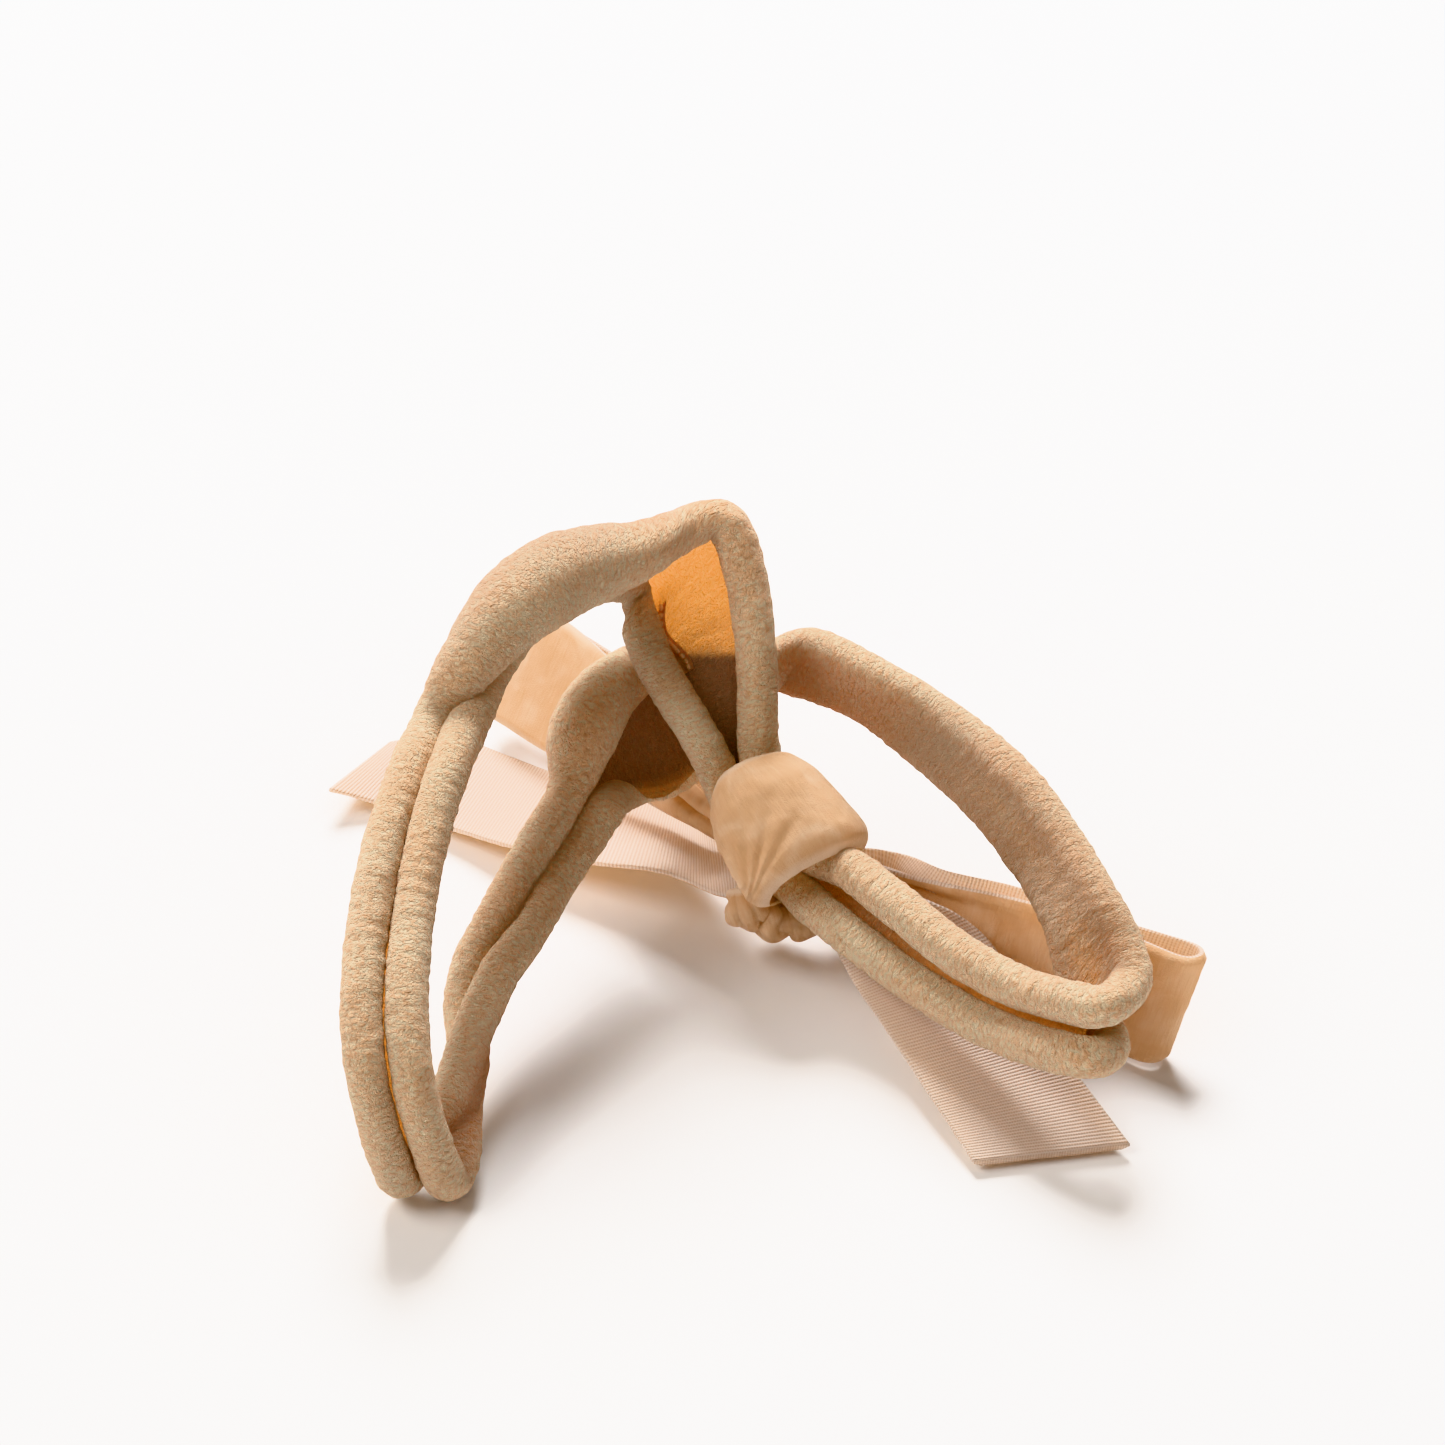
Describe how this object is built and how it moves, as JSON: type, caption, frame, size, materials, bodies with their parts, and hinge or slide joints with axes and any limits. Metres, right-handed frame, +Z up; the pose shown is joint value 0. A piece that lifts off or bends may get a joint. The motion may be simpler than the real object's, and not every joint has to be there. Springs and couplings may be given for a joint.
{
  "type": "infant stretch headband with ribbon bow",
  "caption": "Crumpled soft nylon headband loop with rolled edges and a hand-tied velvet ribbon bow, lying on its side.",
  "frame": {"origin": "centre of the whole piece's box, on the surface it lies on", "axes": "+Z up from the surface, +X along the longest extent from the bow's left tail to its right loop, +Y away from the viewer"},
  "size_m": [0.0648, 0.0592, 0.0299],
  "materials": {
    "nylon": "brushed crinkled knit, soft and slightly see-through",
    "velvet": "short velvet pile with a pale woven back",
    "thread": "matt spun thread"
  },
  "bodies": {
    "root": {"band_in_knot": "nylon", "band_right_run": "nylon", "band_right_arch": "nylon", "band_left_run": "nylon", "band_left_arch": "nylon", "band_crown": "nylon", "band_flat_stretch": "nylon", "join_stitching": "thread", "bow_knot": "velvet", "bow_back": "velvet"},
    "left_tail": {"bow_left_tail": "velvet"},
    "right_tail": {"bow_right_tail": "velvet"},
    "left_loop": {"bow_left_loop": "velvet"},
    "right_loop": {"bow_right_loop": "velvet"}
  },
  "joints": [
    {"name": "left_tail_bend", "type": "hinge", "parent": "root", "child": "left_tail", "pos_m": [-0.0035, 0.0075, 0], "axis": [0, 0, 1], "range_deg": [-8, 12], "stiffness_Nm_per_rad": 0.0001},
    {"name": "right_tail_bend", "type": "hinge", "parent": "root", "child": "right_tail", "pos_m": [0.0068, -0.0022, 0], "axis": [0, 0, 1], "range_deg": [-10, 0], "stiffness_Nm_per_rad": 0.0001},
    {"name": "left_loop_bend", "type": "hinge", "parent": "root", "child": "left_loop", "pos_m": [-0.0033, 0.0075, 0], "axis": [0, 0, 1], "range_deg": [-10, 0], "stiffness_Nm_per_rad": 0.0001},
    {"name": "right_loop_bend", "type": "hinge", "parent": "root", "child": "right_loop", "pos_m": [0.01, 0.0016, 0], "axis": [0, 0, 1], "range_deg": [0, 10], "stiffness_Nm_per_rad": 0.0001}
  ]
}
